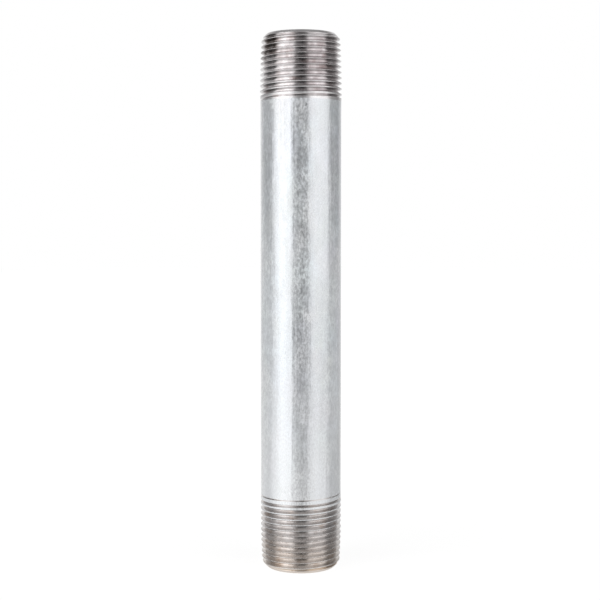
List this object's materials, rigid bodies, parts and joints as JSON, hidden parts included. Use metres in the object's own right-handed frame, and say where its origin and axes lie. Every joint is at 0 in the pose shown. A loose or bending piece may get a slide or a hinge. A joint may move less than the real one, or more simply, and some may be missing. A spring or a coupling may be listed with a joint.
{
  "type": "threaded pipe nipple",
  "caption": "Straight length of galvanised steel pipe with a tapered male pipe thread cut on each end, for joining two female-threaded fittings.",
  "frame": {"origin": "centre of the lower end face, on the pipe's axis", "axes": "+Z along the pipe's axis, from the lower end face to the upper one; -Y is the side the picture shows"},
  "size_m": [0.0268, 0.0268, 0.1778],
  "materials": {
    "steel_pipe": "bare cut steel, turned",
    "weld_bead": "zinc-washed weld flash",
    "upper_thread": "bare die-cut steel, lightly oiled",
    "lower_thread": "bare die-cut steel, oil-stained and dull",
    "barrel_coat": "hot-dip zinc, satin, streaked and pitted",
    "bore_coat": "hot-dip zinc, rough and dull"
  },
  "bodies": {
    "root": {"steel_pipe": "steel_pipe", "weld_bead": "weld_bead", "upper_thread": "upper_thread", "lower_thread": "lower_thread", "barrel_coat": "barrel_coat", "bore_coat": "bore_coat"}
  },
  "joints": []
}
